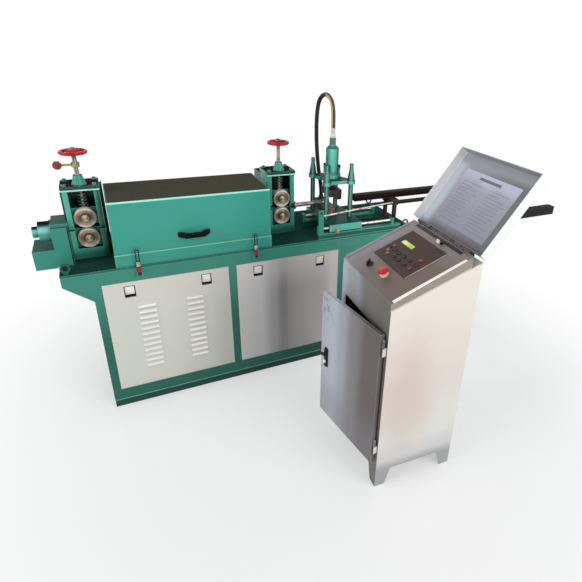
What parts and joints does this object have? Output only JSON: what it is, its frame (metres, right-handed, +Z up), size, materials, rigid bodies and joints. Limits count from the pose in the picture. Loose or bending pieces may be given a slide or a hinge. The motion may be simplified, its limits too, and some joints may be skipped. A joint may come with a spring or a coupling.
{
  "type": "bar straightening and cutting machine",
  "caption": "Green welded machine base with grooved feed rollers, a hinged straightener cover, a sliding hydraulic shear, an outfeed rack and a separate stainless control console.",
  "frame": {"origin": "on the floor, under the middle of the cross sill at the middle posts of the base", "axes": "+X along the bar from inlet to outfeed, +Y to the back of the machine, +Z up"},
  "size_m": [3.134, 1.5463, 1.5116],
  "materials": {
    "green_paint": "gloss enamel",
    "table_green": "worn oily enamel",
    "white_panel": "satin enamel",
    "cover_green": "gloss enamel with a dark crown",
    "bright_steel": "turned",
    "dark_steel": "oiled",
    "spring_steel": "oiled wire",
    "red_paint": "gloss enamel",
    "brass": "dull",
    "black_plastic": "moulded",
    "plated_steel": "plated",
    "rusty_steel": "rusted",
    "hose_rubber": "braided cover",
    "stainless": "brushed sheet",
    "board_film": "printed film",
    "switch_plastic": "moulded"
  },
  "bodies": {
    "base": {"base_front_frame": "green_paint", "base_rear_frame": "green_paint", "cross_members": "green_paint", "table_top": "table_green", "front_panel_left": "white_panel", "front_panel_right": "white_panel", "plain_panels": "green_paint", "roll_stand_left": "green_paint", "roll_stand_right": "green_paint", "stand_caps": "green_paint", "gear_cases": "table_green", "lower_bearings": "table_green", "spring_left": "spring_steel", "spring_right": "spring_steel", "cover_hinges": "dark_steel", "straightening_drum": "dark_steel", "drum_bearings": "table_green", "latch_bases": "plated_steel", "inlet_housing": "green_paint", "inlet_bush": "green_paint", "lifting_eyes": "table_green", "guide_tube": "dark_steel", "carriage_rails": "green_paint", "guide_rods": "bright_steel", "stop_rod": "bright_steel", "valve_block": "dark_steel", "portal": "rusty_steel", "trough": "rusty_steel", "outfeed_rack": "rusty_steel", "console_body": "stainless", "control_board": "board_film", "panel_switches": "switch_plastic"},
    "cover": {"cover": "cover_green", "cover_ends": "cover_green", "cover_handle": "black_plastic"},
    "latch_left": {"latch_left": "plated_steel"},
    "latch_right": {"latch_right": "plated_steel"},
    "bearing_left": {"upper_bearing_left": "table_green"},
    "bearing_right": {"upper_bearing_right": "table_green"},
    "screw_left": {"screw_left": "bright_steel", "handwheel_left": "red_paint", "lock_handle": "brass"},
    "screw_right": {"screw_right": "bright_steel", "handwheel_right": "red_paint"},
    "roller_lower_left": {"lower_roller_left": "bright_steel"},
    "roller_lower_right": {"lower_roller_right": "bright_steel"},
    "roller_upper_left": {"upper_roller_left": "bright_steel"},
    "roller_upper_right": {"upper_roller_right": "bright_steel"},
    "shear_carriage": {"carriage": "green_paint", "tie_columns": "green_paint", "press_plate": "green_paint", "column_nuts": "green_paint", "shear_cylinder": "green_paint", "hose_fitting": "plated_steel", "hose": "hose_rubber", "lower_die": "bright_steel"},
    "ram": {"ram": "dark_steel"},
    "console_lid": {"console_lid": "stainless"},
    "console_door": {"console_door": "stainless"}
  },
  "joints": [
    {"name": "cover_hinge", "type": "hinge", "parent": "base", "child": "cover", "pos_m": [-0.157, 0.096, 0.792], "axis": [-1, 0, 0], "range_deg": [0, 90]},
    {"name": "latch_left_swing", "type": "hinge", "parent": "base", "child": "latch_left", "pos_m": [-0.432, -0.258, 0.742], "axis": [1, 0, 0], "range_deg": [0, 100]},
    {"name": "latch_right_swing", "type": "hinge", "parent": "base", "child": "latch_right", "pos_m": [0.123, -0.258, 0.742], "axis": [1, 0, 0], "range_deg": [0, 100]},
    {"name": "screw_left_turn", "type": "hinge", "parent": "bearing_left", "child": "screw_left", "pos_m": [-0.6155, -0.036, 1.1], "axis": [0, 0, 1], "range_deg": [0, 720]},
    {"name": "screw_right_turn", "type": "hinge", "parent": "bearing_right", "child": "screw_right", "pos_m": [0.3255, -0.036, 1.1], "axis": [0, 0, 1], "range_deg": [0, 720]},
    {"name": "bearing_left_lift", "type": "slide", "parent": "base", "child": "bearing_left", "axis": [0, 0, 1], "range_m": [0, 0.0121], "deforming": ["spring_left"]},
    {"name": "bearing_right_lift", "type": "slide", "parent": "base", "child": "bearing_right", "axis": [0, 0, 1], "range_m": [0, 0.0121], "deforming": ["spring_right"]},
    {"name": "roller_lower_left_spin", "type": "hinge", "parent": "base", "child": "roller_lower_left", "pos_m": [-0.6155, -0.068, 0.8835], "axis": [0, 1, 0], "continuous": true},
    {"name": "roller_lower_right_spin", "type": "hinge", "parent": "base", "child": "roller_lower_right", "pos_m": [0.3255, -0.068, 0.8835], "axis": [0, 1, 0], "continuous": true},
    {"name": "roller_upper_left_spin", "type": "hinge", "parent": "bearing_left", "child": "roller_upper_left", "pos_m": [-0.6155, -0.068, 0.9805], "axis": [0, 1, 0], "continuous": true},
    {"name": "roller_upper_right_spin", "type": "hinge", "parent": "bearing_right", "child": "roller_upper_right", "pos_m": [0.3255, -0.068, 0.9805], "axis": [0, 1, 0], "continuous": true},
    {"name": "carriage_slide", "type": "slide", "parent": "base", "child": "shear_carriage", "axis": [1, 0, 0], "range_m": [0, 0.08], "deforming": ["hose"]},
    {"name": "ram_stroke", "type": "slide", "parent": "shear_carriage", "child": "ram", "axis": [0, 0, -1], "range_m": [0, 0.04]},
    {"name": "lid_hinge", "type": "hinge", "parent": "base", "child": "console_lid", "pos_m": [0.68728, -1.01405, 1.06785], "axis": [-0.0523, -0.9986, 0], "range_deg": [0, 149]},
    {"name": "door_hinge", "type": "hinge", "parent": "base", "child": "console_door", "pos_m": [0.32344, -1.20728, 0.4635], "axis": [0, 0, 1], "range_deg": [-11, 79]}
  ],
  "couplings": [
    {"joint": "bearing_left_lift", "follows": "screw_left_turn", "m_per_rad": 0.00095493},
    {"joint": "bearing_right_lift", "follows": "screw_right_turn", "m_per_rad": 0.00095493},
    {"joint": "roller_upper_left_spin", "follows": "roller_lower_left_spin", "ratio": -1},
    {"joint": "roller_lower_right_spin", "follows": "roller_lower_left_spin", "ratio": 1},
    {"joint": "roller_upper_right_spin", "follows": "roller_lower_left_spin", "ratio": -1}
  ]
}
